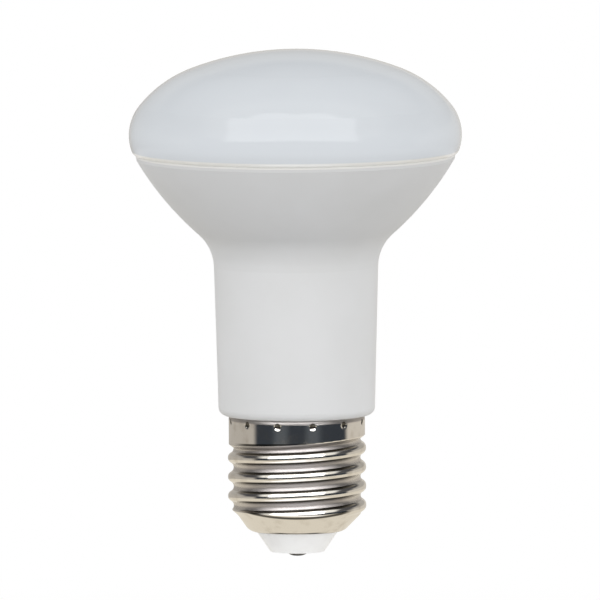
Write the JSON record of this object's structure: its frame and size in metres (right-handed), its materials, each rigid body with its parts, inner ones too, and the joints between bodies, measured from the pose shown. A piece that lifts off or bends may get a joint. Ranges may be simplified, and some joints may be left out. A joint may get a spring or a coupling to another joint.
{
  "type": "reflector bulb",
  "caption": "Reflector bulb with a flattened opal dome, a white flared housing with a long neck, and a screw cap with a rolled knuckle thread, white insulator and end contact.",
  "frame": {"origin": "lowest point of the end contact, on the bulb's turning axis", "axes": "+Z along the turning axis from the end contact towards the dome; +X at the side where the thread's lowest crest stands 9.62 mm above the origin"},
  "size_m": [0.063, 0.063, 0.0961],
  "materials": {
    "opal": "glossy opal, closed to view",
    "white_body": "satin",
    "cap_plating": "polished nickel plating on rolled sheet",
    "white_insulator": "satin",
    "contact_metal": "dull plating"
  },
  "bodies": {
    "root": {"diffuser": "opal", "housing": "white_body", "screw_cap": "cap_plating", "insulator": "white_insulator", "contact": "contact_metal"}
  },
  "joints": []
}
